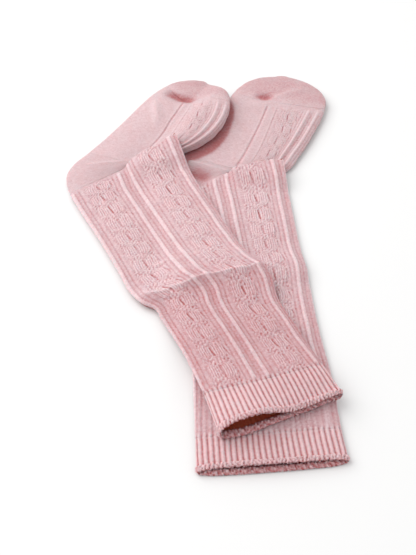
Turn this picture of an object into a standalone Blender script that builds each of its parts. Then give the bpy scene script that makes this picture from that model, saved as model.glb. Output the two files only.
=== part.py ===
"""A pair of knee-high cable-knit socks, laid flat in profile, the near one across the far one.

Each sock is a knitted tube of one thickness, flattened so that its back fold (heel side) and its
front fold (instep side) are the two long edges.  Three guide lines carry its shape: the back fold,
the side line half way across the upper layer, and the front fold.  A row of a table below gives
where the three lie at one section, and how high the flattened tube stands there.  The far sock
lies on the floor.  The near sock is laid over it, and each leg laps over its own foot at the ankle.
"""

import math

import bmesh
import bpy
import numpy as np

MM = 0.001

# Driving dimensions, in millimetres.
CLOTH = 1.4             # thickness of the knitted wall
SEAM_GAP = 0.3          # between two knitted parts that meet at a seam
CLEARANCE = 0.45        # between a layer and what it is laid on
ROUND_STEPS = 28        # points round the tube
ROW_PITCH = 8.5         # between sections of a leg or foot
FINE_PITCH = 7.0        # between sections of a cuff, heel or toe
EDGE_HEIGHT = 0.45      # how high the folded edges stand, as a share of the tube's height
EDGE_SQUARE = 2.6       # how square the tube is across, 2 is an ellipse
CROWN = 0.6             # how fast the upper layer rises from its folded edges
FLAT_FROM = 0.5         # the lower layer lies flat from here inwards, as a sine of the way round
DRAPE_SLOPE = 0.5       # steepest fall of cloth that hangs over an edge
LAP_START = 0.15        # how far past the side line the leg is clear above its own foot
HEEL_REACH = 0.52 * math.pi     # how far round from the back fold the turned heel goes
HEEL_STEPS = 16         # faces across the turned heel
GRID = 2.0              # spacing of the field that stands for what is already laid down
BRIDGE_CELLS = 3        # cells round an edge that cloth laid over it stays clear of
HANG_CELLS = 24         # cells out from an edge that the hanging cloth may reach
COVER_STEPS = 60        # points across an upper layer that raise the field
SHIFT_X, SHIFT_Y = -4.9, 38.8   # the middle of the pair, in the plan of the tables below

# What the columns of the guide tables below mean: where the back fold, the side line and the
# front fold lie (x, y), and the height of the flattened tube.
FAR_LEG = (
    ("hem", (-6, -141), (35, -139), (75, -135), 6.0),
    ("cuff top", (-7, -120), (33, -118), (73, -114), 5.6),
    ("calf", (-8, -84), (32, -83), (71, -80), 5.4),
    ("low calf", (-10, -50), (29, -50), (67, -48), 5.4),
    ("below the crease", (-12, -16), (26, -13), (64, -9), 5.6),
    ("crease", (-14, -3), (25, 2), (63, 6), 8.0),
    ("above the crease", (-16, 12), (23, 16), (61, 20), 5.6),
    ("shin", (-20, 36), (20, 38), (59, 42), 5.4),
    ("low shin", (-25, 60), (16, 66), (59, 71), 5.4),
    ("ankle", (-30, 76), (13, 96), (54, 107), 5.2),
)
FAR_HEEL = (
    ("leg seam", (-30, 76), (13.3, 96.7), (54, 107), 5.2),
    ("below the turn", (-34, 83), (13.5, 97.6), (53, 104), 5.4),
    ("turn", (-37, 93), (14, 98.7), (52, 101), 5.6),
    ("past the turn", (-33, 107), (14.7, 100), (50, 97), 5.4),
    ("sole seam", (-22, 121), (15.7, 101.9), (48, 94), 5.2),
)
FAR_FOOT = (
    ("ankle", (-22, 121), (16, 102.5), (48, 94), 5.2),
    ("instep", (-12, 136), (24, 114), (60, 104), 6.0),
    ("arch", (-2, 150), (31, 132), (67, 116), 7.0),
    ("ball", (10, 173), (40, 158), (79, 140), 8.0),
    ("toe seam", (20, 194), (47, 178), (90, 172), 8.5),
)
FAR_TOE = (
    ("toe seam", (20, 194), (47, 178), (90, 172), 8.5),
    ("toes", (25, 202), (55, 194), (92, 186), 8.5),
    ("toe curve", (34, 211), (61, 207), (87, 201), 8.0),
    ("toe end", (44, 216), (61, 214), (77, 211), 6.5),
    ("toe tip", (54, 218.6), (61, 218), (67, 217), 4.6),
)
NEAR_LEG = (
    ("hem", (5, -120), (38, -112), (75, -94), 12.0),
    ("cuff top", (-2, -97), (30, -90), (66, -77), 9.5),
    ("calf", (-11, -74), (23, -69), (59, -61), 7.0),
    ("low calf", (-20, -54), (13, -50), (51, -43), 6.0),
    ("below the crease", (-29, -36), (3, -31), (43, -24), 6.0),
    ("foot of the crease", (-33, -29), (-4, -20), (40, -9), 7.0),
    ("crease", (-41, -25), (-11, -11), (35, 1), 9.5),
    ("above the crease", (-48, -17), (-17, 1), (28, 9), 6.5),
    ("shin", (-57, 1), (-27, 18), (18, 28), 5.6),
    ("low shin", (-71, 28), (-40, 46), (4, 58), 5.4),
    ("above the ankle", (-84, 54), (-53, 73), (-8, 84), 5.4),
    ("ankle", (-95, 76), (-61, 101), (-24, 125), 5.2),
)
NEAR_HEEL = (
    ("leg seam", (-95, 76), (-60.7, 101.7), (-24, 125), 5.2),
    ("below the turn", (-100, 86), (-60.4, 102.7), (-27, 121), 5.8),
    ("turn", (-102, 96), (-59.8, 103.9), (-30, 117), 6.4),
    ("past the turn", (-99, 108), (-59.2, 105.3), (-33, 112), 6.6),
    ("sole seam", (-90, 121), (-58.4, 106.8), (-38.5, 103.5), 6.4),
)
NEAR_FOOT = (
    ("ankle", (-90, 121), (-58.1, 107.5), (-38.5, 103.5), 6.4),
    ("instep", (-77, 137), (-46, 119), (-20, 112), 6.6),
    ("arch", (-63, 155), (-33, 128), (-5, 117), 9.5),
    ("waist", (-50, 172), (-28, 146), (5, 129), 13.0),
    ("ball", (-39, 186), (-22, 165), (12, 148), 14.0),
    ("toe seam", (-31, 195), (-17, 177), (17, 168), 13.0),
)
NEAR_TOE = (
    ("toe seam", (-31, 195), (-17, 177), (17, 168), 13.0),
    ("toes", (-26, 201), (-10, 189), (15, 181), 12.5),
    ("toe curve", (-21, 206), (-7, 199), (9, 193), 11.0),
    ("toe end", (-16, 209), (-7, 205), (2, 201), 8.0),
    ("toe tip", (-11, 209.6), (-8, 208.4), (-4, 207), 5.0),
)

# Finish: colour as linear red, green, blue, and roughness.
PINK = (0.73, 0.47, 0.48)
YARN_ROUGHNESS = 0.9


def clear_scene():
    """Take away what the file opens with."""
    for thing in list(bpy.data.objects):
        bpy.data.objects.remove(thing, do_unlink=True)


def knit_material(name):
    """A plain pink yarn finish."""
    material = bpy.data.materials.new(name)
    material.use_nodes = True
    shader = material.node_tree.nodes["Principled BSDF"]
    shader.inputs["Base Color"].default_value = (*PINK, 1.0)
    shader.inputs["Roughness"].default_value = YARN_ROUGHNESS
    shader.inputs["Metallic"].default_value = 0.0
    return material


class Guide:
    """Smooth guide lines through a table's rows, found by the distance along the tube.

    The distance runs midway between the three lines, or along the back fold alone.
    """

    def __init__(self, rows, along_back=False):
        self.values = np.array(
            [(*back, *side, *front, height) for _, back, side, front, height in rows], float
        )
        back, side, front = (self.values[:, k:k + 2] for k in (0, 2, 4))
        line = back if along_back else (back + side + front) / 3
        steps = np.hypot(*np.diff(line, axis=0).T)
        self.at = np.concatenate(([0.0], np.cumsum(steps)))
        self.slopes = np.gradient(self.values, self.at, axis=0)

    @property
    def length(self):
        """From the first row to the last."""
        return self.at[-1]

    def sample(self, distance):
        """Cubic through the rows: back x, y, side x, y, front x, y and height."""
        index = int(np.clip(np.searchsorted(self.at, distance) - 1, 0, len(self.at) - 2))
        span = self.at[index + 1] - self.at[index]
        t = (distance - self.at[index]) / span
        start, end = self.values[index], self.values[index + 1]
        leave, arrive = self.slopes[index] * span, self.slopes[index + 1] * span
        return (
            start * (2 * t**3 - 3 * t**2 + 1)
            + leave * (t**3 - 2 * t**2 + t)
            + end * (3 * t**2 - 2 * t**3)
            + arrive * (t**3 - t**2)
        )


class Laid:
    """The height of what already lies on the floor, and how cloth laid over it hangs."""

    LOW, HIGH = -160.0, 240.0

    def __init__(self):
        count = int((self.HIGH - self.LOW) / GRID) + 1
        self.top = np.zeros((count, count))
        self.hung = self.top

    def cell(self, values):
        """Where plan places fall in the field's rows or columns."""
        return (np.asarray(values) - self.LOW) / GRID

    def put(self, points):
        """Raise the field to the given points, then let cloth hang from it on all sides."""
        column = np.rint(self.cell(points[:, 0])).astype(int)
        line = np.rint(self.cell(points[:, 1])).astype(int)
        np.maximum.at(self.top, (column, line), points[:, 2])
        field = self.top.copy()
        for _ in range(BRIDGE_CELLS):
            field = self.widen(field, 0.0)
        for _ in range(HANG_CELLS):
            field = self.widen(field, DRAPE_SLOPE * GRID)
        self.hung = field

    @staticmethod
    def widen(field, fall):
        """Each cell takes the highest of itself and its neighbours less the fall to them."""
        wide = field.copy()
        for dx, dy in ((1, 0), (-1, 0), (0, 1), (0, -1)):
            wide = np.maximum(wide, np.roll(field, (dx, dy), (0, 1)) - fall)
        for dx, dy in ((1, 1), (-1, 1), (1, -1), (-1, -1)):
            wide = np.maximum(wide, np.roll(field, (dx, dy), (0, 1)) - fall * math.sqrt(2))
        return wide

    def under(self, x, y):
        """Height of the field at a point, between its cells."""
        a, b = self.cell(x), self.cell(y)
        i, j = int(a), int(b)
        p, q = a - i, b - j
        grid = self.hung
        height = (
            grid[i, j] * (1 - p) * (1 - q)
            + grid[i + 1, j] * p * (1 - q)
            + grid[i, j + 1] * (1 - p) * q
            + grid[i + 1, j + 1] * p * q
        )
        return height + CLEARANCE if height > 0 else 0.0


class Tube:
    """A flattened knitted tube along a guide, over what is already laid down."""

    def __init__(self, guide, laid, own_foot=None):
        self.guide = guide
        self.laid = laid
        self.own_foot = own_foot

    def support(self, x, y, across):
        """Height of what the tube lies on; only its front half laps over its own foot."""
        lift = self.laid.under(x, y)
        if self.own_foot is not None:
            share = min(max(across / LAP_START, 0.0), 1.0)
            lift += share * (self.own_foot.under(x, y) - lift) if share > 0 else 0.0
        return lift

    def point(self, distance, angle, inner):
        """A point of the wall's outer or inner face, the angle running round from the back fold."""
        values = self.guide.sample(distance)
        back, side, front, height = values[0:2], values[2:4], values[4:6], values[6]
        half = np.hypot(*(front - back)) / 2
        cosine, sine = math.cos(angle), math.sin(angle)
        across = -math.copysign(abs(cosine) ** (2 / EDGE_SQUARE), cosine)
        wall = CLOTH if inner else 0.0
        across *= 1 - wall / half
        edge = EDGE_HEIGHT * height
        if sine >= 0:
            z = edge + (height - edge - wall) * sine**CROWN
        else:
            z = wall + (edge - wall) * (1 - min(1.0, -sine / FLAT_FROM)) ** 2
        x, y = (
            back * across * (across - 1) / 2
            + side * (1 - across**2)
            + front * across * (across + 1) / 2
        )
        return np.array((x, y, z + self.support(x, y, across)))

    def ring(self, distance, inner, angles):
        """Points of one section of the wall's outer or inner face."""
        return [self.point(distance, angle, inner) for angle in angles]

    def cover(self, start, end):
        """Points of the outer face, close together, from one distance to another."""
        angles = [math.pi * k / COVER_STEPS for k in range(COVER_STEPS + 1)]
        rows = np.arange(start, end, GRID / 2)
        return np.array([p for row in rows for p in self.ring(row, False, angles)])


def full_round():
    """Angles of the points round a whole section."""
    return [2 * math.pi * k / ROUND_STEPS for k in range(ROUND_STEPS)]


def new_object(name, mesh_body, collection, material):
    """Turn a bmesh into a named object in metres, with its faces pointing out."""
    bmesh.ops.translate(mesh_body, verts=mesh_body.verts, vec=(-SHIFT_X, -SHIFT_Y, 0.0))
    bmesh.ops.scale(mesh_body, verts=mesh_body.verts, vec=(MM, MM, MM))
    bmesh.ops.recalc_face_normals(mesh_body, faces=mesh_body.faces)
    bmesh.ops.triangulate(mesh_body, faces=mesh_body.faces)
    mesh = bpy.data.meshes.new(name)
    mesh_body.to_mesh(mesh)
    mesh_body.free()
    mesh.materials.append(material)
    thing = bpy.data.objects.new(name, mesh)
    collection.objects.link(thing)
    return thing


def bridge(body, first, second, closed):
    """Faces between two rows of the same number of points."""
    count = len(first)
    for k in range(count if closed else count - 1):
        n = (k + 1) % count
        body.faces.new((first[k], first[n], second[n], second[k]))


def sleeve(name, tube, distances, collection, material):
    """A stretch of tube with a wall, open at both ends."""
    body = bmesh.new()
    outer = [[body.verts.new(p) for p in tube.ring(d, False, full_round())] for d in distances]
    inner = [[body.verts.new(p) for p in tube.ring(d, True, full_round())] for d in distances]
    for rows in (outer, inner):
        for first, second in zip(rows, rows[1:]):
            bridge(body, first, second, closed=True)
    bridge(body, outer[0], inner[0], closed=True)
    bridge(body, outer[-1], inner[-1], closed=True)
    return new_object(name, body, collection, material)


def pouch(name, tube, distances, inner_distances, collection, material):
    """The toe: a stretch of tube with a wall, closed at its far end."""
    body = bmesh.new()
    outer = [[body.verts.new(p) for p in tube.ring(d, False, full_round())] for d in distances]
    inner = [
        [body.verts.new(p) for p in tube.ring(d, True, full_round())] for d in inner_distances
    ]
    for rows in (outer, inner):
        for first, second in zip(rows, rows[1:]):
            bridge(body, first, second, closed=True)
        body.faces.new(rows[-1])
    bridge(body, outer[0], inner[0], closed=True)
    return new_object(name, body, collection, material)


def gusset(name, tube, distances, collection, material):
    """The turned heel: a channel round the back fold that narrows to the side line."""
    body = bmesh.new()
    angles = [HEEL_REACH * (1 - 2 * k / HEEL_STEPS) for k in range(HEEL_STEPS + 1)]
    outer = [[body.verts.new(p) for p in tube.ring(d, False, angles)] for d in distances]
    inner = [[body.verts.new(p) for p in tube.ring(d, True, angles)] for d in distances]
    for rows in (outer, inner):
        for first, second in zip(rows, rows[1:]):
            bridge(body, first, second, closed=False)
    for end in (0, -1):
        bridge(body, outer[end], inner[end], closed=False)
        bridge(body, [row[end] for row in outer], [row[end] for row in inner], closed=False)
    return new_object(name, body, collection, material)


def spread(start, end, pitch):
    """Distances from start to end, about a pitch apart."""
    count = max(1, round((end - start) / pitch))
    return [start + (end - start) * k / count for k in range(count + 1)]


def sock(prefix, tables, laid, collection, material):
    """Lay one sock down: its foot first, then its leg and cuff, which lap over the foot."""
    leg_rows, heel_rows, foot_rows, toe_rows = tables
    half_gap = SEAM_GAP / 2
    finish = (collection, material)

    foot = Tube(Guide(foot_rows + toe_rows[1:]), laid)
    toe_seam = foot.guide.at[len(foot_rows) - 1]
    tip = foot.guide.length
    sleeve(prefix + "foot", foot, spread(half_gap, toe_seam - half_gap, ROW_PITCH), *finish)
    toe_rings = spread(toe_seam + half_gap, tip, FINE_PITCH)
    pouch(prefix + "toe", foot, toe_rings, toe_rings[:-1], *finish)

    heel = Tube(Guide(heel_rows, along_back=True), laid)
    heel_end = heel.guide.length - SEAM_GAP
    gusset(prefix + "heel", heel, spread(SEAM_GAP, heel_end, FINE_PITCH), *finish)

    foot_laid = Laid()
    foot_laid.top = laid.top.copy()
    foot_laid.put(foot.cover(0.0, tip))
    leg = Tube(Guide(leg_rows), laid, own_foot=foot_laid)
    ankle = leg.guide.length
    cuff_seam = leg.guide.at[1]
    sleeve(prefix + "cuff", leg, spread(0.0, cuff_seam - half_gap, FINE_PITCH), *finish)
    sleeve(
        prefix + "leg", leg, spread(cuff_seam + half_gap, ankle - half_gap, ROW_PITCH), *finish
    )
    covers = [tube.cover(0.0, tube.guide.length) for tube in (leg, foot, heel)]
    laid.put(np.concatenate(covers))


def main():
    """Build both socks, the far one first because the near one lies on it."""
    clear_scene()
    collection = bpy.data.collections.new("knee_high_socks")
    bpy.context.scene.collection.children.link(collection)
    material = knit_material("pink_knit")
    laid = Laid()
    sock("far_sock_", (FAR_LEG, FAR_HEEL, FAR_FOOT, FAR_TOE), laid, collection, material)
    sock("near_sock_", (NEAR_LEG, NEAR_HEEL, NEAR_FOOT, NEAR_TOE), laid, collection, material)


main()
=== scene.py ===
"""The looks of a pair of knee-high cable-knit socks, laid flat, the near one across the far one.

Each sock is one knitted tube, worked from the cuff down in five pieces: cuff, leg, heel, foot and
toe.  Each piece is a thin shell of cloth on the form of its solid in the frame.  Its form comes from
three guide lines (back fold, side line and front fold), its large creases from short routes, and
its knitted relief (ribs, cables, crevices and hems) from sizes in stitches.  What is finer than
that, the single stitches, is bump.

Plan positions are in millimetres, +X towards the front of the legs and +Y towards the toes.
"""

import logging
import math
from dataclasses import dataclass
from enum import Enum

import bpy
import numpy as np
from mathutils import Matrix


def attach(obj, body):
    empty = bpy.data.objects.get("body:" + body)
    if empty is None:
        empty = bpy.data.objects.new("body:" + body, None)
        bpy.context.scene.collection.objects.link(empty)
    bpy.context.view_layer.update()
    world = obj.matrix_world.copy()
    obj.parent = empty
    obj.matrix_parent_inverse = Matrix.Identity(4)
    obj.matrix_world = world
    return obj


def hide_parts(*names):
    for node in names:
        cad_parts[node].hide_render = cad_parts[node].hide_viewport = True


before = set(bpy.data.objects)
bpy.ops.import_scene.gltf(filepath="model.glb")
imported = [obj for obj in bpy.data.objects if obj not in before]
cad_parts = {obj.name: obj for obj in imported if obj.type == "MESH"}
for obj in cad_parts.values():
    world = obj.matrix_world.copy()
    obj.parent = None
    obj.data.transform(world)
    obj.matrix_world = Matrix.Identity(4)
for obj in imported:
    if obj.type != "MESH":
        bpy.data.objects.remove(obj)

LOG = logging.getLogger("socks")
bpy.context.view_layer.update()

MM = 0.001
Array = np.ndarray
Point = tuple[float, float]

# The form of the flattened tube, as the solids in the frame have it.
EDGE_HEIGHT = 0.45          # how high the folded edges stand, as a share of the tube's height
EDGE_SQUARE = 2.6           # how square the tube is across, 2 is an ellipse
CROWN = 0.6                 # how fast the upper layer rises from its folded edges
FLAT_FROM = 0.5             # the lower layer lies flat from here inwards, as a sine of the way round
CLEARANCE = 0.45            # between a layer and what it is laid on
CLEAR_FROM = 0.6            # height of what lies below from which the whole clearance is kept
DRAPE_SLOPE = 0.5           # steepest fall of cloth that hangs over an edge
LAP_START = 0.15            # how far past the side line the leg is clear above its own foot
HEEL_REACH = 0.52 * math.pi     # how far round from the back fold the turned heel goes
PLAN_MIDDLE = (-4.9, 38.8)  # the middle of the pair, which is the frame's origin, in the plan

# The cloth.
CUFF_RIBS = 54              # round the cuff
RIB_PITCH = 3.0             # of the cuff, laid out flat
GIRTH = 152.0               # round the leg and foot, laid out flat
WALL = 0.85                 # of plain cloth
SINK = 0.45                 # plain cloth lies this far inside the form, and the relief fills it
SEAM_GAP = 0.02             # between two pieces at a seam
FINE_STEP = 0.3             # between columns where the relief shows
PLAIN_STEP = 1.2            # between columns of the hidden lower layer
DENSE = 260                 # points across one layer before they are spaced evenly
UNDER_SHARE = 0.4           # of the relief that the hidden lower layer keeps

# Irregular values are a sum of waves.
WAVES = 8
WAVE_SPREAD = (0.6, 1.7)    # shortest and longest, as shares of the size asked for


def hex_to_linear(code: str) -> tuple[float, float, float, float]:
    """Turn an sRGB hex colour into linear red, green, blue and alpha."""
    channels = [int(code[k:k + 2], 16) / 255 for k in (1, 3, 5)]
    linear = [c / 12.92 if c <= 0.04045 else ((c + 0.055) / 1.055) ** 2.4 for c in channels]
    return (*linear, 1.0)


def smooth_step(values: Array, low: float, high: float) -> Array:
    """Rise smoothly from 0 at low to 1 at high."""
    t = np.clip((values - low) / (high - low), 0.0, 1.0)
    return t * t * (3 - 2 * t)


def between(values: Array, rise: Point, fall: Point) -> Array:
    """1 between two places, with a smooth rise before and a smooth fall after."""
    return smooth_step(values, *rise) * (1 - smooth_step(values, *fall))


def bell(values: Array, width: float | Array) -> Array:
    """A soft bump of height 1 at 0, down to a third at the width."""
    return np.exp(-((values / width) ** 2))


def uneven(x: Array, y: Array, size: float, seed: int) -> Array:
    """Smooth irregular values, about -1 to 1, that change over the given size."""
    random = np.random.default_rng(seed)
    total = np.zeros(np.broadcast(x, y).shape)
    for _ in range(WAVES):
        angle, phase = random.uniform(0.0, 2 * math.pi, 2)
        turn = 2 * math.pi / (size * random.uniform(*WAVE_SPREAD))
        total = total + np.sin(turn * (x * math.cos(angle) + y * math.sin(angle)) + phase)
    return total * 2 / WAVES


@dataclass(frozen=True)
class Station:
    """One section of a flattened tube: where its three lines lie, and how high it stands."""

    name: str
    back: Point
    side: Point
    front: Point
    height: float


def stations(*rows: tuple) -> tuple[Station, ...]:
    """Name the columns of a guide table."""
    return tuple(Station(*row) for row in rows)


class Guide:
    """Smooth guide lines through stations, found by the distance along the tube.

    The distance runs midway between the three lines, or along the back fold alone.
    """

    def __init__(self, rows: tuple[Station, ...], along_back: bool = False) -> None:
        self.values = np.array([(*r.back, *r.side, *r.front, r.height) for r in rows], float)
        back, side, front = (self.values[:, k:k + 2] for k in (0, 2, 4))
        line = back if along_back else (back + side + front) / 3
        steps = np.hypot(*np.diff(line, axis=0).T)
        self.at = np.concatenate(([0.0], np.cumsum(steps)))
        self.slopes = np.gradient(self.values, self.at, axis=0)

    @property
    def length(self) -> float:
        """From the first station to the last."""
        return float(self.at[-1])

    def sample(self, distances: Array) -> Array:
        """Cubic through the stations.

        Args:
            distances: along the tube, in millimetres.

        Returns:
            A row for each distance: back x, y, side x, y, front x, y and height.
        """
        index = np.clip(np.searchsorted(self.at, distances) - 1, 0, len(self.at) - 2)
        span = (self.at[index + 1] - self.at[index])[:, None]
        t = (distances - self.at[index])[:, None] / span
        start, end = self.values[index], self.values[index + 1]
        leave, arrive = self.slopes[index] * span, self.slopes[index + 1] * span
        return (
            start * (2 * t**3 - 3 * t**2 + 1)
            + leave * (t**3 - 2 * t**2 + t)
            + end * (3 * t**2 - 2 * t**3)
            + arrive * (t**3 - t**2)
        )


class Bed:
    """The height of what already lies on the floor, and how cloth laid over it hangs."""

    LOW, HIGH = -160.0, 240.0
    GRID = 2.0              # spacing of the field
    FINER = 4               # cells of the smoothed field in one of the field
    BRIDGE_CELLS = 3        # cells round an edge that cloth laid over it stays clear of
    HANG_CELLS = 24         # cells out from an edge that the hanging cloth may reach
    SOFTEN_CELLS = 5        # half width of the smoothing, in cells of the smoothed field
    SOFTEN_PASSES = 2

    def __init__(self, top: Array | None = None) -> None:
        count = int((self.HIGH - self.LOW) / self.GRID) + 1
        self.top = np.zeros((count, count)) if top is None else top.copy()
        self.hung = np.zeros((count - 1) * self.FINER + 1)
        self.empty = True

    def put(self, points: Array) -> None:
        """Raise the field to the given points, then let cloth hang from it on all sides."""
        column = np.rint((points[:, 0] - self.LOW) / self.GRID).astype(int)
        line = np.rint((points[:, 1] - self.LOW) / self.GRID).astype(int)
        np.maximum.at(self.top, (column, line), points[:, 2])
        field = self.top.copy()
        for _ in range(self.BRIDGE_CELLS):
            field = self.widen(field, 0.0)
        for _ in range(self.HANG_CELLS):
            field = self.widen(field, DRAPE_SLOPE * self.GRID)
        self.hung = self.soften(field)
        self.empty = False

    @staticmethod
    def widen(field: Array, fall: float) -> Array:
        """Each cell takes the highest of itself and its neighbours less the fall to them."""
        wide = field.copy()
        for dx, dy in ((1, 0), (-1, 0), (0, 1), (0, -1)):
            wide = np.maximum(wide, np.roll(field, (dx, dy), (0, 1)) - fall)
        for dx, dy in ((1, 1), (-1, 1), (1, -1), (-1, -1)):
            wide = np.maximum(wide, np.roll(field, (dx, dy), (0, 1)) - fall * math.sqrt(2))
        return wide

    def finer(self, field: Array) -> Array:
        """The field with more cells, read between the old ones."""
        coarse = np.arange(len(field))
        fine = np.linspace(0, len(field) - 1, (len(field) - 1) * self.FINER + 1)
        for _ in range(2):
            field = np.array([np.interp(fine, coarse, line) for line in field]).T
        return field

    def soften(self, field: Array) -> Array:
        """Make the field finer, and round its corners off."""
        field = self.finer(field)
        reach = range(-self.SOFTEN_CELLS, self.SOFTEN_CELLS + 1)
        for _ in range(self.SOFTEN_PASSES):
            for axis in (0, 1):
                field = sum(np.roll(field, k, axis) for k in reach) / len(reach)
        return field

    def under(self, x: Array, y: Array) -> Array:
        """Height of cloth laid over the field at each plan position."""
        if self.empty:
            return np.zeros_like(x)
        step = self.GRID / self.FINER
        last = len(self.hung) - 2
        a = np.clip((x - self.LOW) / step, 0, last)
        b = np.clip((y - self.LOW) / step, 0, last)
        i, j = a.astype(int), b.astype(int)
        p, q = a - i, b - j
        height = (
            self.hung[i, j] * (1 - p) * (1 - q)
            + self.hung[i + 1, j] * p * (1 - q)
            + self.hung[i, j + 1] * (1 - p) * q
            + self.hung[i + 1, j + 1] * p * q
        )
        return height + CLEARANCE * smooth_step(height, 0.0, CLEAR_FROM)


@dataclass(frozen=True)
class Crease:
    """A soft ridge (or trough, with a negative height) along a route over an upper layer.

    Its flanks may differ: uphill is on the left of the route, downhill on its right.
    """

    name: str
    route: tuple[Point, ...]
    height: float
    left: float
    right: float
    taper: float = 0.3      # share of the route's length over which it fades in and out

    def lift(self, x: Array, y: Array) -> Array:
        """Height that the crease adds at each plan position."""
        line = np.array(self.route, float)
        steps = np.hypot(*np.diff(line, axis=0).T)
        total = steps.sum()
        nearest = np.full(x.shape, np.inf)
        lifted = np.zeros(x.shape)
        gone = 0.0
        for (x0, y0), (x1, y1), step in zip(line, line[1:], steps):
            dx, dy = (x1 - x0) / step, (y1 - y0) / step
            along = (x - x0) * dx + (y - y0) * dy
            held = np.clip(along, 0.0, step)
            offset = np.hypot(x - x0 - held * dx, y - y0 - held * dy)
            side = (x - x0) * -dy + (y - y0) * dx
            width = np.where(side > 0, self.left, self.right)
            share = (gone + held) / total
            fade = smooth_step(np.minimum(share, 1 - share), 0.0, self.taper)
            lifted = np.where(offset < nearest, fade * bell(offset, width), lifted)
            nearest = np.minimum(nearest, offset)
            gone += step
        return self.height * lifted


@dataclass(frozen=True)
class Mouth:
    """How the mouth of a cuff stands open.

    Each row has a place across, from -1 at the back fold to 1 at the front fold, then how far the
    hem is lifted there, and how far it is set back towards the leg.
    """

    reach: float            # how far in from the hem the mouth shapes the tube
    upper: tuple[tuple[float, float, float], ...]
    lower: tuple[tuple[float, float, float], ...]

    PLACES = 201            # across, at which the rows are read
    SMOOTH = 21             # of those places are averaged, which rounds the rows' corners

    def offsets(self, across: Array, sine: Array) -> tuple[Array, Array]:
        """Lift and draw-back of the hem at each place across, for the layer that the sine tells."""
        places = np.linspace(-1.0, 1.0, self.PLACES)
        kernel = np.ones(self.SMOOTH) / self.SMOOTH
        found = []
        for column in (1, 2):
            both = []
            for rows in (self.upper, self.lower):
                table = np.array(rows)
                line = np.interp(places, table[:, 0], table[:, column])
                padded = np.pad(line, self.SMOOTH // 2, mode="edge")
                smooth = np.convolve(padded, kernel, mode="valid")
                both.append(np.interp(across, places, smooth))
            found.append(np.where(sine >= 0, *both))
        return found[0], found[1]


class Layer(Enum):
    """The two layers of a tube that lies flat."""

    UPPER = (0.0, math.pi)
    LOWER = (math.pi, 2 * math.pi)


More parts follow.
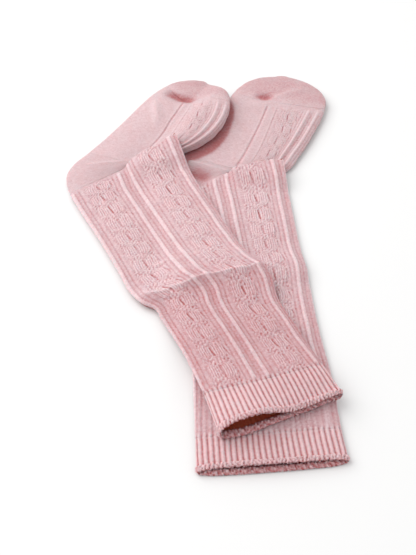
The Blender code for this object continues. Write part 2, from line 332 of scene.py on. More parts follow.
class TubeForm:
    """A flattened tube along guide lines, over what is already laid down."""

    WAVE = 0.3              # how much the upper layer wavers
    WAVE_SIZE = 30.0
    UPPER = (0.05, 0.6)     # creases and waves fade in between these sines of the way round
    TROUGH = 3.5            # how deep a trough must be for the full painted shade
    CREST = 1.5             # width of both flanks together of a crest with the full painted highlight
    CREST_LIGHT = 0.5       # how much lighter that crest is, as painted highlight
    COVER_ANGLES = 61       # points across a layer that raises a bed

    def __init__(
        self,
        guide: Guide,
        bed: Bed,
        own_foot: Bed | None = None,
        creases: tuple[Crease, ...] = (),
        mouth: Mouth | None = None,
    ) -> None:
        self.guide = guide
        self.bed = bed
        self.own_foot = own_foot
        self.creases = creases
        self.mouth = mouth

    def points(self, distances: Array, angles: Array) -> Array:
        """The form's outer face.

        Args:
            distances: along the tube.
            angles: round the tube from the back fold, over the upper layer first.

        Returns:
            Plan x, y and height, as an array of distances by angles by 3.
        """
        values = self.guide.sample(distances)[:, None, :]
        back, side, front, height = (
            values[..., 0:2], values[..., 2:4], values[..., 4:6], values[..., 6]
        )
        cosine, sine = np.cos(angles)[None, :], np.sin(angles)[None, :]
        across = -np.sign(cosine) * np.abs(cosine) ** (2 / EDGE_SQUARE)
        edge = EDGE_HEIGHT * height
        above = np.clip(sine, 0.0, 1.0)
        rise = (height - edge) * above**CROWN
        fall = edge * (1 - np.clip(-sine / FLAT_FROM, 0.0, 1.0)) ** 2
        z = np.where(sine >= 0, edge + rise, fall)
        u = across[..., None]
        plan = back * u * (u - 1) / 2 + side * (1 - u**2) + front * u * (u + 1) / 2
        x, y = plan[..., 0], plan[..., 1]
        lift = self.bed.under(x, y)
        if self.own_foot is not None:
            share = smooth_step(across, 0.0, LAP_START)
            lift = lift + share * (self.own_foot.under(x, y) - lift)
        upper = smooth_step(np.broadcast_to(sine, x.shape), *self.UPPER)
        z = z + lift + upper * self.WAVE * uneven(x, y, self.WAVE_SIZE, 5)
        for crease in self.creases:
            z = z + crease.lift(x, y) * upper
        if self.mouth is not None:
            near = np.clip(1 - distances / self.mouth.reach, 0.0, 1.0)[:, None] ** 2
            rise_by, back_by = self.mouth.offsets(across, sine)
            slope = self.guide.slopes[0, 2:4]
            inwards = slope / np.linalg.norm(slope)
            x = x + near * back_by * inwards[0]
            y = y + near * back_by * inwards[1]
            z = z + near * rise_by
        return np.stack((x, y, z), axis=-1)

    def crease_shade_and_highlight(self, points: Array) -> Array:
        """Painted shade that the creases add to the yarn's tone in a trough, and painted highlight on a
        sharp crest.
        """
        tone = np.zeros(points.shape[:2])
        for crease in self.creases:
            lift = crease.lift(points[..., 0], points[..., 1])
            light = self.CREST_LIGHT * self.CREST / (crease.left + crease.right)
            tone = tone + np.clip(-lift / self.TROUGH, 0.0, 1.0) - light * np.clip(lift, 0.0, 1.0)
        return tone

    def even(self, distances: Array, angles: Array, shares: Array) -> Array:
        """The outer face between two angles, with points at even shares of the way across."""
        dense = self.points(distances, angles)
        steps = np.linalg.norm(np.diff(dense, axis=1), axis=2)
        way = np.concatenate((np.zeros((len(distances), 1)), np.cumsum(steps, axis=1)), axis=1)
        way /= way[:, -1:]
        rows = []
        for line, at in zip(dense, way):
            rows.append(np.stack([np.interp(shares, at, line[:, k]) for k in range(3)], axis=-1))
        return np.array(rows)

    def layer(self, distances: Array, which: Layer, shares: Array) -> Array:
        """One layer, from fold to fold."""
        start, end = which.value
        t = np.linspace(0.0, 1.0, DENSE)
        angles = start + (end - start) * (t - np.sin(2 * math.pi * t) / (2 * math.pi))
        return self.even(distances, angles, shares)

    def round(self, distances: Array, rounds: Array) -> Array:
        """All round: 0 is the back fold, a quarter the side line, a half the front fold."""
        upper = self.layer(distances, Layer.UPPER, rounds[rounds < 0.5] * 2)
        lower = self.layer(distances, Layer.LOWER, rounds[rounds >= 0.5] * 2 - 1)
        return np.concatenate((upper, lower), axis=1)

    def cover(self, start: float, end: float) -> Array:
        """Points of the whole upper layer, close together, that raise a bed."""
        rows = np.arange(start, end, Bed.GRID / 2)
        angles = math.pi * np.arange(self.COVER_ANGLES) / (self.COVER_ANGLES - 1)
        return self.points(rows, angles).reshape(-1, 3)


def normals_of(grid: Array, closed: bool) -> Array:
    """Unit normals of a grid of points, out of the tube."""
    if closed:
        over = 3                # columns each way, which reach over the fold and not just to it
        across = np.roll(grid, -over, axis=1) - np.roll(grid, over, axis=1)
    else:
        across = np.gradient(grid, axis=1)
    along = np.gradient(grid, axis=0)
    normals = np.cross(across, along)
    normals /= np.linalg.norm(normals, axis=2, keepdims=True) + 1e-12
    middle = grid.mean(axis=(0, 1))
    outwards = np.sum((grid - middle) * normals) > 0
    return normals if outwards else -normals


def cuff_ribs(rounds: Array, along: Array) -> Array:
    """Relief of one-by-one rib, -0.45 to 0.55, with ribs that waver a little."""
    wander, wander_size, sharpness, middle = 0.0006, 14.0, 1.2, 0.45
    places = rounds + wander * uneven(rounds * GIRTH, along, wander_size, 21)
    return np.abs(np.cos(math.pi * CUFF_RIBS * places)) ** sharpness - middle


def upper_only(rounds: Array) -> Array:
    """Share of the relief at each place round a tube: all of it above, less of it below."""
    return 1 - (1 - UNDER_SHARE) * between(rounds, (0.5, 0.54), (0.96, 1.0))


class CableKnit:
    """The leg's pattern: four quarters round, each a half rib pair, cable panel and half rib pair.

    Sizes are in millimetres of flat cloth.
    """

    QUARTER = GIRTH / 4
    RIB_AT = 3.85           # from the middle of a rib pair to the middle of one rib
    SWELL_HALF = 4.3        # half the width of the soft ridge under a rib
    SWELL_RISE = 0.4
    RIB_HALF = 1.5          # half the width of the raised wale along its top
    RIB_RISE = 0.65
    SPLIT_DEEP = 0.2        # the trough between the two ribs of a pair
    SPLIT_WIDTH = 0.9
    CREVICE_DEEP = 0.22     # where the pair meets the plain cloth
    CREVICE_WIDTH = 0.6
    CABLE_AT = 19.5         # the middle of the cable panel
    STRAND_OFF = 4.1        # from there to the middle of a strand
    STRAND_HALF = 4.2
    STRAND_RISE = 0.48
    SLOT_DEEP = 0.6         # where two strands part, or a strand parts from the plain cloth
    SLOT_LEAN = 0.17        # how far a slot leans off the wales
    SLOT_WIDTH = 0.5
    NOTCH_DEEP = 0.25       # where the cable narrows, between two slots
    NOTCH_WIDTH = 2.2
    NOTCH_IN = 1.5          # how far in from the cable's edge it lies
    CROSS_EVERY = 14.5      # along the leg
    CROSS_SHARE = 0.6       # share of that in which the strands cross
    WALE = 1.4              # width of one column of stitches on a strand
    WALE_RISE = 0.36
    MERGE = 0.4             # how softly two strands meet
    STITCH_BUMP = 0.22      # uneven stitches on the cables
    OVER, UNDER = 0.1, -0.35    # how much a strand rises or sinks as it crosses
    CALM = 0.6              # how much of a strand's wales is lost where it crosses
    DEEPEST = -0.7          # of the whole pattern

    def ribs(self, x: Array) -> Array:
        """Relief of the rib pairs, x from the middle of the nearest pair."""
        near = np.abs(x)
        off = np.abs(near - self.RIB_AT)
        swell = self.SWELL_RISE * np.cos(np.clip(off / self.SWELL_HALF, 0.0, 1.0) * math.pi / 2)
        wale = self.RIB_RISE * np.cos(np.clip(off / self.RIB_HALF, 0.0, 1.0) ** 1.5 * math.pi / 2)
        split = self.SPLIT_DEEP * bell(near, self.SPLIT_WIDTH)
        meeting = near - self.RIB_AT - self.SWELL_HALF
        crevice = self.CREVICE_DEEP * bell(meeting, self.CREVICE_WIDTH)
        return swell + wale - split - crevice

    def cable(self, x: Array, along: Array) -> Array:
        """Relief of a cable panel, x from its middle."""
        turns = along / self.CROSS_EVERY
        phase = turns - np.floor(turns)
        crossing = np.clip(phase / self.CROSS_SHARE, 0.0, 1.0)
        centre = self.STRAND_OFF * np.cos(math.pi * crossing)
        passing = np.sin(math.pi * crossing)
        broken = 0.7 + 0.3 * uneven(x, along, 2.4, 15)
        strands = []
        for sign, lifted in ((1.0, self.OVER), (-1.0, self.UNDER)):
            rise = self.STRAND_RISE * (1 + lifted * passing)
            off = x - sign * centre
            share = np.clip(np.abs(off) / self.STRAND_HALF, 0.0, 1.0)
            wales = self.WALE_RISE * np.cos(2 * math.pi * off / self.WALE) * (1 - share**4) * broken
            rounded = rise * np.cos(share**1.5 * math.pi / 2)
            strands.append(rounded + wales * (1 - self.CALM * passing))
        first, second = strands
        relief = (first + second + np.sqrt((first - second) ** 2 + self.MERGE**2) - self.MERGE) / 2
        edge = self.STRAND_OFF + self.STRAND_HALF
        bumps = self.STITCH_BUMP * uneven(x, along, 1.7, 14) * (0.6 + passing)
        relief = relief + bumps * (np.abs(x) < edge)
        notch = bell(x - edge + self.NOTCH_IN, self.NOTCH_WIDTH)
        relief = relief - self.NOTCH_DEEP * passing**2 * notch
        straight = (1 - passing) ** 1.5
        lean = self.SLOT_LEAN * self.CROSS_EVERY * (phase - 0.75)
        for at, deep in ((0.0, 1.0), (edge, 0.75), (-edge, 0.15)):
            strength = np.clip(0.75 + 0.5 * uneven(at + 0 * x, along, 20.0, 12), 0.2, 1.1)
            slot = bell(x - at + lean, self.SLOT_WIDTH)
            relief = relief - deep * strength * self.SLOT_DEEP * straight * slot
        return relief

    def relief(self, turn: Array, along: Array) -> Array:
        """Relief of the pattern.

        Args:
            turn: how far round the pattern, 0 to 1, with a rib pair at each quarter.
            along: millimetres along the tube.

        Returns:
            Millimetres above plain cloth.
        """
        x = np.mod(turn * 4, 1.0) * self.QUARTER
        pair = np.where(x > self.QUARTER / 2, x - self.QUARTER, x)
        around = turn * GIRTH
        loose = 0.04 * uneven(around, along, 4.0, 8) + 0.05 * uneven(around, along, 1.5, 9)
        wander = 0.5 * uneven(turn * 4, along, 9.0, 11)
        panel = self.cable(x - self.CABLE_AT + 0.4 * wander, along + wander)
        return np.maximum(self.ribs(pair) + panel + loose, self.DEEPEST)


@dataclass(frozen=True)
class YarnFinish:
    """Combed cotton-blend yarn, dyed in the hank: matt, with a soft nap that catches the light.

    The stitches are laid out from the piece's own UV map, which is in metres of flat cloth.
    """

    name: str
    crown: str              # painted highlight on the tops of ribs and wales
    light: str              # on plain cloth
    deep: str               # painted shade in the grooves
    inside: str             # painted shade deep inside the tube
    wale: float = 1.2       # width of a stitch, mm
    course: float = 0.9     # height of a stitch, mm
    stitch_deep: float = 0.22
    lean: float = 1.3       # how steeply a stitch's two legs lean
    fuzz_scale: float = 1900.0      # loose fibres, about 0.5 mm
    mottle_scale: float = 60.0      # uneven dye, about 17 mm
    roughness: float = 0.82
    specular: float = 0.15  # dull fibres, with hardly a highlight
    sheen: float = 0.35
    sheen_roughness: float = 0.5
    scatter: float = 0.5    # light goes through the loose yarn
    scatter_reach: float = 1.2      # mm, for red
    scatter_colours: tuple[float, float, float] = (1.0, 0.3, 0.25)


RIB_YARN = YarnFinish("rib_knit", "#d9bdc0", "#cba9ac", "#ac6264", "#ae5239")
CABLE_YARN = YarnFinish("cable_knit", "#dac4c7", "#c8a9ad", "#ac6668", "#ae5239")
PLAIN_YARN = YarnFinish("plain_knit", "#d6bfc2", "#c8adb0", "#aa686b", "#ae5239", course=0.8)


def add_node(
    tree: bpy.types.NodeTree, kind: str, inputs: dict | None = None, **settings
) -> bpy.types.Node:
    """Add a node, with its settings and links.

    Args:
        tree: the node tree.
        kind: the node's type.
        inputs: for each input, by name or index, a value or another node's output socket.
        settings: the node's own properties.

    Returns:
        The node.
    """
    node = tree.nodes.new(kind)
    for key, value in settings.items():
        setattr(node, key, value)
    for key, value in (inputs or {}).items():
        if isinstance(value, bpy.types.NodeSocket):
            tree.links.new(value, node.inputs[key])
        else:
            node.inputs[key].default_value = value
    return node


def yarn_material(finish: YarnFinish) -> bpy.types.Material:
    """Build the knitted yarn's material.

    Args:
        finish: its colours, stitch size and gloss.

    Returns:
        The material.
    """
    material = bpy.data.materials.new(finish.name)
    material.use_nodes = True
    tree = material.node_tree
    shader = tree.nodes["Principled BSDF"]

    def maths(operation: str, *values) -> bpy.types.NodeSocket:
        """One step of arithmetic on values or sockets."""
        inputs = dict(enumerate(values))
        return add_node(tree, "ShaderNodeMath", inputs, operation=operation).outputs[0]

    cloth = add_node(tree, "ShaderNodeUVMap", uv_map="cloth")
    axes = add_node(tree, "ShaderNodeSeparateXYZ", {0: cloth.outputs[0]})
    wale = maths("DIVIDE", axes.outputs[0], finish.wale * MM)
    course = maths("DIVIDE", axes.outputs[1], finish.course * MM)
    # Each stitch is a V: two legs that lean in towards the middle of its column.
    off_middle = maths("ABSOLUTE", maths("SUBTRACT", maths("FRACT", wale), 0.5))
    leaning = maths("ADD", course, maths("MULTIPLY", off_middle, finish.lean))
    leg = maths("ABSOLUTE", maths("SUBTRACT", maths("FRACT", leaning), 0.5))
    leg_round = maths("SUBTRACT", 1.0, maths("MULTIPLY", maths("MULTIPLY", leg, leg), 4.0))
    column = maths("SINE", maths("MULTIPLY", off_middle, 2 * math.pi))
    stitch = maths("MULTIPLY", leg_round, maths("ADD", maths("MULTIPLY", column, 0.7), 0.3))

    place = add_node(tree, "ShaderNodeTexCoord").outputs["Object"]
    fuzz, mottle = (
        add_node(
            tree, "ShaderNodeTexNoise",
            {"Vector": place, "Scale": scale, "Detail": detail, "Roughness": 0.6},
        ).outputs["Fac"]
        for scale, detail in ((finish.fuzz_scale, 2.0), (finish.mottle_scale, 4.0))
    )
    height = maths("ADD", stitch, maths("MULTIPLY", fuzz, 0.5))
    bump = add_node(
        tree, "ShaderNodeBump",
        {"Height": height, "Strength": 0.75, "Distance": finish.stitch_deep * MM},
    )

    # Painted shade in the hollows and painted highlight on the crowns, from the piece's own attribute.
    hollow = add_node(tree, "ShaderNodeAttribute", attribute_name="hollow").outputs["Fac"]
    # Painted shade under and beside the near sock, darker and redder than the yarn's own colour.
    contact_shade = add_node(tree, "ShaderNodeAttribute", attribute_name="contact_shade").outputs["Fac"]
    # No two stitches are drawn equally tight, so each shows a little more or less of its depth.
    cell = add_node(tree, "ShaderNodeCombineXYZ", {0: maths("FLOOR", wale), 1: maths("FLOOR", leaning)})
    tightness = add_node(tree, "ShaderNodeTexWhiteNoise", {"Vector": cell.outputs[0]}).outputs["Value"]
    uneven_pull = maths("MULTIPLY_ADD", tightness, 0.14, -0.07)
    grain = maths("ADD", uneven_pull, maths("MULTIPLY_ADD", fuzz, 0.3, -0.15))
    dye = maths("MULTIPLY_ADD", mottle, 0.14, -0.07)
    # Where each point sits on the ramp: painted shade and highlight, with the dye's uneven tone and the
    # stitches' uneven grain.
    shade_and_dye = maths("ADD", maths("MULTIPLY_ADD", hollow, 0.5, 0.2), dye)
    shade_and_dye = maths("ADD", maths("MULTIPLY_ADD", contact_shade, 0.4, shade_and_dye), grain)
    # From painted highlight on the crowns, through plain cloth and painted shade in the grooves, to the
    # darkest painted shade inside the tube.
    tones = add_node(tree, "ShaderNodeValToRGB", {"Fac": shade_and_dye})
    ramp = tones.color_ramp.elements
    ramp[0].color, ramp[1].color = hex_to_linear(finish.crown), hex_to_linear(finish.inside)
    ramp.new(0.2).color = hex_to_linear(finish.light)
    ramp.new(0.6).color = hex_to_linear(finish.deep)
    tree.links.new(tones.outputs[0], shader.inputs["Base Color"])
    tree.links.new(bump.outputs[0], shader.inputs["Normal"])
    # Less sheen where the painted shade lies, deep in the hollows and inside the tube: the nap shows
    # only where light comes straight in.
    nap = maths("MULTIPLY_ADD", hollow, -finish.sheen / 2, finish.sheen)
    tree.links.new(nap, shader.inputs["Sheen Weight"])
    for socket, value in (
        ("Roughness", finish.roughness),
        ("Specular IOR Level", finish.specular),
        ("Sheen Tint", hex_to_linear(finish.crown)),
        ("Sheen Roughness", finish.sheen_roughness),
        ("Subsurface Weight", finish.scatter),
        ("Subsurface Radius", finish.scatter_colours),
        ("Subsurface Scale", finish.scatter_reach * MM),
    ):
        shader.inputs[socket].default_value = value
    return material


@dataclass
class ClothGrid:
    """One piece's cloth as two grids of points, and what the material reads from them."""

    outer: Array            # rows by columns by 3, plan millimetres
    inner: Array            # every so many of its rows and columns, moved in
    cloth: Array            # rows by columns by 2, millimetres of flat cloth round and along
    hollow: Array           # rows by columns: how deep in the knit, for painted shade in the grooves and painted highlight on the crowns
    inside: Array           # the same for the inner grid, 2 deep inside the tube, the darkest painted shade
    rows: Array             # which outer rows the inner grid has
    columns: Array          # which outer columns the inner grid has
    closed: bool            # whether the columns run all round
    soft_start: bool        # whether the rim at the first row is rounded, not cut square

    def faces(self) -> tuple[list[tuple[int, ...]], list[bool]]:
        """Faces of both sides and of the rims between them, as corner numbers, and which are smooth."""
        rows, columns = self.outer.shape[:2]
        first_inner = rows * columns
        width = len(self.columns)
        faces: list[tuple[int, ...]] = []

        def quads(count_rows: int, count_columns: int, first: int, flip: bool) -> None:
            """Add the quads of one grid."""
            last = count_columns if self.closed else count_columns - 1
            i, j = np.meshgrid(np.arange(count_rows - 1), np.arange(last), indexing="ij")
            n = (j + 1) % count_columns
            a, b = first + i * count_columns + j, first + i * count_columns + n
            c, d = b + count_columns, a + count_columns
            quad = (a, d, c, b) if flip else (a, b, c, d)
            faces.extend(map(tuple, np.stack([q.ravel() for q in quad], axis=1).tolist()))

        quads(rows, columns, 0, False)
        quads(len(self.rows), width, first_inner, True)
        smooth = [True] * len(faces)

        starts = list(self.columns)
        stops = starts[1:] + ([columns] if self.closed else [])
        for b, (start, stop) in enumerate(zip(starts, stops)):
            n = (b + 1) % width
            for row, inner_row, flip in ((0, 0, True), (rows - 1, len(self.rows) - 1, False)):
                run = [row * columns + k % columns for k in range(start, stop + 1)]
                base = first_inner + inner_row * width
                ring = run + [base + n, base + b]
                faces.append(tuple(reversed(ring)) if flip else tuple(ring))
                smooth.append(self.soft_start and row == 0)
        if not self.closed:
            for b, (start, stop) in enumerate(zip(self.rows, self.rows[1:])):
                for column, inner_column, flip in ((0, 0, False), (columns - 1, width - 1, True)):
                    run = [k * columns + column for k in range(start, stop + 1)]
                    ring = run + [
                        first_inner + (b + 1) * width + inner_column,
                        first_inner + b * width + inner_column,
                    ]
                    faces.append(tuple(reversed(ring)) if flip else tuple(ring))
                    smooth.append(False)
        return faces, smooth

    def vertices(self) -> Array:
        """Corners in metres of the frame."""
        points = np.concatenate((self.outer.reshape(-1, 3), self.inner.reshape(-1, 3)))
        return (points - np.array((*PLAN_MIDDLE, 0.0))) * MM

    def to_object(self, name: str, material: bpy.types.Material) -> bpy.types.Object:
        """Make the piece's object, with its cloth map and the painted shade and highlight of its
        hollows and crowns.

        Args:
            name: the object's name.
            material: its yarn.

        Returns:
            The object, linked to the scene.
        """
        mesh = bpy.data.meshes.new(name)
        faces, smooth = self.faces()
        mesh.from_pydata(self.vertices().tolist(), [], faces)
        mesh.polygons.foreach_set("use_smooth", smooth)
        picked = np.ix_(self.rows, self.columns)
        cloth = np.concatenate((self.cloth.reshape(-1, 2), self.cloth[picked].reshape(-1, 2)))
        hollow = np.concatenate((self.hollow.ravel(), self.inside.ravel()))
        corners = np.zeros(len(mesh.loops), int)
        mesh.loops.foreach_get("vertex_index", corners)
        starts = np.zeros(len(mesh.polygons), int)
        mesh.polygons.foreach_get("loop_start", starts)
        uv = cloth[corners]
        if self.closed:     # a face over the back fold's join runs on past the full girth
            highest = np.maximum.reduceat(uv[:, 0], starts)
            counts = np.diff(np.append(starts, len(corners)))
            wraps = uv[:, 0] < np.repeat(highest, counts) - GIRTH / 2
            uv[wraps, 0] += GIRTH
        layer = mesh.uv_layers.new(name="cloth")
        layer.uv.foreach_set("vector", (uv * MM).astype(np.float32).ravel())
        # Painted shade and highlight for the yarn's tone, inside the tube too.
        values = mesh.attributes.new("hollow", "FLOAT", "POINT")
        values.data.foreach_set("value", hollow.astype(np.float32))
        mesh.materials.append(material)
        mesh.validate()
        if signed_volume(mesh) < 0:
            mesh.flip_normals()
        thing = bpy.data.objects.new(name, mesh)
        bpy.context.scene.collection.objects.link(thing)
        return thing


def shade_contacts(pieces: list[bpy.types.Object], bed: Bed) -> None:
    """Give each point how far it lies below the cloth beside it, 0 to 1, as painted shade in the yarn's
    tone.

    The painted shade is redder, as what light reaches such places has bounced between yarns.

    Args:
        pieces: the knitted pieces that lie underneath.
        bed: the heights of the whole pair.
    """
    beside, beyond = (-1.5, 1.0), (-1.0, 7.0)   # where the cloth's height is read, mm away, to the left and behind, towards the lamp
    shade_from, shade_full = 3.0, 8.0           # mm below it, where the painted shade starts and where it is full
    field = bed.top
    for _ in range(2):
        for axis in (0, 1):
            field = sum(np.roll(field, k, axis) for k in (-1, 0, 1)) / 3
    around = Bed()
    around.hung, around.empty = bed.finer(field), False
    for piece in pieces:
        points = np.zeros(len(piece.data.vertices) * 3, np.float32)
        piece.data.vertices.foreach_get("co", points)
        plan = points.reshape(-1, 3).astype(float) / MM + np.array((*PLAN_MIDDLE, 0.0))
        near, far = (around.under(plan[:, 0] + dx, plan[:, 1] + dy) for dx, dy in (beside, beyond))
        below = np.maximum(near, far) - plan[:, 2]
        values = piece.data.attributes.new("contact_shade", "FLOAT", "POINT")
        shade = smooth_step(below, shade_from, shade_full)
        values.data.foreach_set("value", shade.astype(np.float32))


def signed_volume(mesh: bpy.types.Mesh) -> float:
    """Volume that the faces enclose, negative if they point inwards."""
    mesh.calc_loop_triangles()
    points = np.zeros(len(mesh.vertices) * 3, np.float32)
    mesh.vertices.foreach_get("co", points)
    corners = np.zeros(len(mesh.loop_triangles) * 3, int)
    mesh.loop_triangles.foreach_get("vertices", corners)
    a, b, c = (points.reshape(-1, 3)[corners.reshape(-1, 3)[:, k]].astype(float) for k in range(3))
    return float(np.sum(a * np.cross(b, c)) / 6)


def spread(start: float, end: float, pitch: float) -> Array:
    """Values from start to end, about a pitch apart."""
    return np.linspace(start, end, max(1, round((end - start) / pitch)) + 1)


def every(count: int, stride: int) -> Array:
    """Every so many of a count of rows, the last one always among them."""
    picked = np.arange(0, count, stride)
    return picked if picked[-1] == count - 1 else np.append(picked[:-1], count - 1)


def fine_rounds(upper_step: float, lower_step: float, stride: int) -> Array:
    """Places round a tube, closer together on the upper layer, a whole number of strides."""
    upper = stride * round(GIRTH / 2 / upper_step / stride)
    lower = stride * round(GIRTH / 2 / lower_step / stride)
    return np.concatenate((np.arange(upper) / upper / 2, 0.5 + np.arange(lower) / lower / 2))


@dataclass(frozen=True)
class Setting:
    """How the pattern sits round a tube: the places round it of four rib-pair middles."""

    back: float             # of the pair at the back, below 0 where it lies under the fold
    side: float
    front: float
    under: float

    def turn(self, rounds: Array) -> Array:
        """How far round the pattern each place round the tube is."""
        places = [self.under - 1, self.back, self.side, self.front, self.under, self.back + 1]
        return np.interp(rounds, places, [-0.25, 0.0, 0.25, 0.5, 0.75, 1.0])


@dataclass
class KnitPiece:
    """A knitted piece of one sock, which replaces one node of the frame."""

    node: str
    form: TubeForm
    start: float
    end: float
    setting: Setting
    finish: YarnFinish
    rests_on: tuple[str, ...]

    FOLD_THIN = 0.55        # how much thinner the wall is at the folds
    FOLD_WIDTH = 4.0
    DEEP = 0.72             # this far below the cloth round it, a point would have the full painted shade, 1
    TONES = (-0.32, 0.9)    # painted highlight of the highest crown and painted shade of the deepest groove
    AROUND = (2, 6)         # rows and columns each way that a point is judged against

    flat_round = GIRTH      # width of the flat cut, mm
    flat_stretch = 1.0      # its length, as a share of the length as laid
    flat_outline = 1.0      # its area, as a share of width by length
    soft_start = False      # only a hem is rounded
    pitch = 0.75            # between rows
    stride = 4              # outer columns for one of the inner face
    row_stride = 3

    def rows(self) -> Array:
        """Distances of the rows along the tube."""
        return spread(self.start + SEAM_GAP / 2, self.end - SEAM_GAP / 2, self.pitch)

    def rounds(self) -> Array:
        """Places of the columns round the tube."""
        return fine_rounds(FINE_STEP, PLAIN_STEP, self.stride)

    def turns(self, rows: Array, rounds: Array) -> Array:
        """How far round the pattern each point is, rows by columns."""
        return np.broadcast_to(self.setting.turn(rounds), (len(rows), len(rounds)))

    def relief(self, rows: Array, rounds: Array) -> Array:
        """Millimetres of relief above plain cloth, rows by columns."""
        return np.zeros((len(rows), len(rounds)))

    def thickness(self, rows: Array, rounds: Array) -> Array:
        """Wall under plain cloth, rows by columns."""
        return np.full((len(rows), len(rounds)), WALL)

    def shape(self, base: Array, rows: Array, rounds: Array) -> Array:
        """Change the form's points before the relief goes on."""
        return base

    def grid(self) -> ClothGrid:
        """Work out the piece's cloth."""
        rows, rounds = self.rows(), self.rounds()
        base = self.shape(self.form.round(rows, rounds), rows, rounds)
        folds = bell(np.abs(np.mod(rounds + 0.25, 0.5) - 0.25) * GIRTH, self.FOLD_WIDTH)
        walls = self.thickness(rows, rounds) * (1 - self.FOLD_THIN * folds)[None, :]
        relief, turns = self.relief(rows, rounds), self.turns(rows, rounds)
        return self.cloth_on(base, rows, rounds, relief, walls, turns, closed=True)

    def cloth_on(
        self,
        base: Array,
        rows: Array,
        rounds: Array,
        relief: Array,
        walls: Array,
        turns: Array,
        closed: bool,
    ) -> ClothGrid:
        """Put the cloth on the form.

        Args:
            base: the form's points, rows by columns by 3.
            rows: distances of the rows along the tube.
            rounds: places of the columns.
            relief: millimetres above plain cloth.
            walls: thickness under plain cloth.
            turns: how far round the cloth each point is, 0 to 1.
            closed: whether the columns run all round.

        Returns:
            The piece's two faces, its under side kept on the floor, and what its yarn reads.
        """
        normals = normals_of(base, closed)
        outer = base + normals * (relief - SINK)[..., None]
        outer[..., 2] = np.maximum(outer[..., 2], 0.0)
        inner = base - normals * (SINK + walls)[..., None]
        picked_rows = every(len(rows), self.row_stride)
        columns = np.arange(0, len(rounds), self.stride)
        along = np.broadcast_to(rows[:, None], relief.shape)
        return ClothGrid(
            outer=outer,
            inner=inner[np.ix_(picked_rows, columns)],
            cloth=np.stack((turns * GIRTH, along), axis=-1),
            # Painted shade and highlight: the knit's hollows and crowns, the creases' troughs and
            # crests, and the rows near the cuff and on the toe cap.
            hollow=self.hollow(relief) + self.form.crease_shade_and_highlight(base) + self.row_shade(rows)[:, None],
            inside=self.inside(rows[picked_rows], rounds[columns]),
            rows=picked_rows,
            columns=columns,
            closed=closed,
            soft_start=self.soft_start,
        )

    def hollow(self, relief: Array) -> Array:
        """How deep in the knit each point lies, which paints shade into the yarn's tone.

        It is judged against the cloth close round it, so the crowns of ribs and wales come out low, as
        painted highlight.
        """
        around = relief
        for axis in (1, 0):
            reach = range(-self.AROUND[axis], self.AROUND[axis] + 1)
            around = sum(np.roll(around, k, axis) for k in reach) / len(reach)
        return np.clip((around - relief) / self.DEEP, *self.TONES)

    def row_shade(self, rows: Array) -> Array:
        """Painted shade at each row, which adds to the hollows' tone; none by default."""
        return np.zeros(len(rows))

    def inside(self, rows: Array, rounds: Array) -> Array:
        """How deep inside the tube the inner face lies, 0 to 2, for painted shade in the yarn's tone.
        """
        return np.full((len(rows), len(rounds)), 2.0)

    def build(self) -> bpy.types.Object:
        """Model the piece, dress it and put it in place of its solid in the frame."""
        thing = self.grid().to_object(self.node + "_knit", yarn_material(self.finish))
        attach(thing, "root")
        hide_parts(self.node)
        thing.data.calc_loop_triangles()
        LOG.info("%s: %d triangles", thing.name, len(thing.data.loop_triangles))
        return thing


